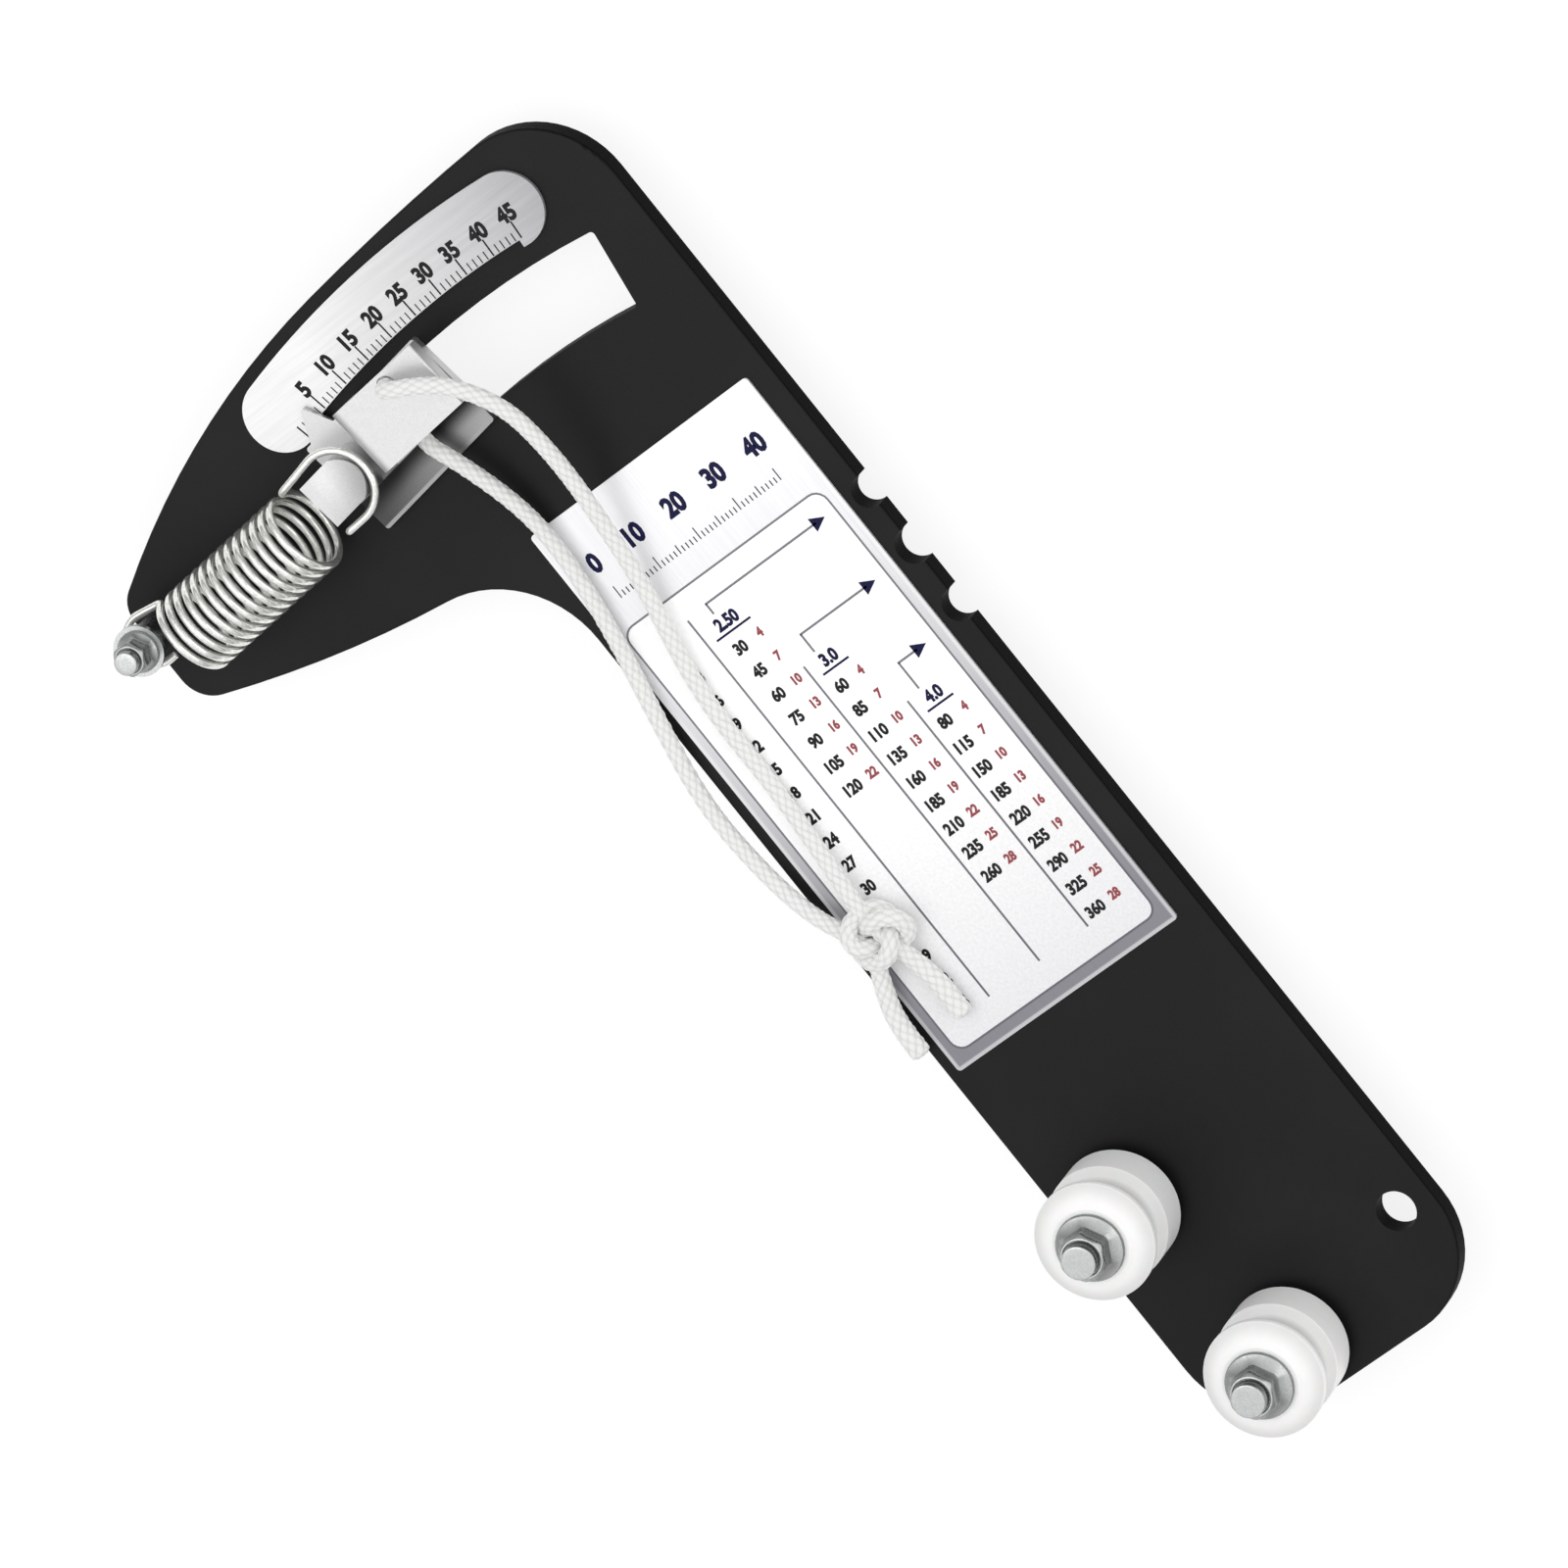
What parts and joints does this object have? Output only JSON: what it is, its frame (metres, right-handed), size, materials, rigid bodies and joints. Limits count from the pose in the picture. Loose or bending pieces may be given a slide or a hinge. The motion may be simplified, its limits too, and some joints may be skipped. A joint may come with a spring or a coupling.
{
  "type": "rigging tension gauge",
  "caption": "Flat hand gauge that reads the tension of a rigging wire: grooved rollers, a sprung slider with a wire hook on a curved slot, scale and lanyard.",
  "frame": {"origin": "centre of the hang hole at the plate's front face", "axes": "+X along the handle to the roller end, +Y to the right edge seen from the front, +Z out of the front face"},
  "size_m": [0.2725, 0.134, 0.04],
  "materials": {
    "black_plate": "black anodised, satin",
    "silver_scale": "bright brushed, printed in black",
    "printed_label": "printed, gloss",
    "white_nylon": "turned nylon",
    "bronze_bush": "plain",
    "zinc_steel": "bright zinc plated",
    "bare_aluminium": "satin clear anodised",
    "spring_steel": "bright drawn wire",
    "white_cord": "braided polyester"
  },
  "bodies": {
    "frame": {"body_plate": "black_plate", "scale_plate": "silver_scale", "calibration_plate": "printed_label", "inner_roller_bush": "bronze_bush", "inner_roller_spacer": "zinc_steel", "inner_roller_bolt": "zinc_steel", "inner_roller_back_washer": "zinc_steel", "inner_roller_nut": "zinc_steel", "end_roller_bush": "bronze_bush", "end_roller_spacer": "zinc_steel", "end_roller_bolt": "zinc_steel", "end_roller_back_washer": "zinc_steel", "end_roller_nut": "zinc_steel", "anchor_spacer": "zinc_steel", "anchor_washer": "zinc_steel", "anchor_bolt": "zinc_steel", "anchor_back_washer": "zinc_steel", "anchor_nut": "zinc_steel", "tension_spring": "spring_steel"},
    "inner_roller": {"inner_roller": "white_nylon"},
    "end_roller": {"end_roller": "white_nylon"},
    "slider": {"slider_bracket": "bare_aluminium", "slider_guide": "white_nylon", "slider_keeper": "bare_aluminium", "slider_screws": "zinc_steel", "lanyard_upper_strand": "white_cord", "lanyard_lower_strand": "white_cord", "lanyard_first_tail": "white_cord", "lanyard_second_tail": "white_cord", "lanyard_knot": "white_cord"}
  },
  "joints": [
    {"name": "inner_roller_spin", "type": "hinge", "parent": "frame", "child": "inner_roller", "pos_m": [-0.0293, -0.0421, 0.01], "axis": [0, 0, 1], "continuous": true},
    {"name": "end_roller_spin", "type": "hinge", "parent": "frame", "child": "end_roller", "pos_m": [0.0087, -0.0328, 0.01], "axis": [0, 0, 1], "continuous": true},
    {"name": "slider_travel", "type": "hinge", "parent": "frame", "child": "slider", "pos_m": [-0.0517, -0.0304, 0], "axis": [0, 0, -1], "range_deg": [0, 17.9], "stiffness_Nm_per_rad": 29, "springref_deg": -3.44, "deforming": ["tension_spring"]}
  ]
}
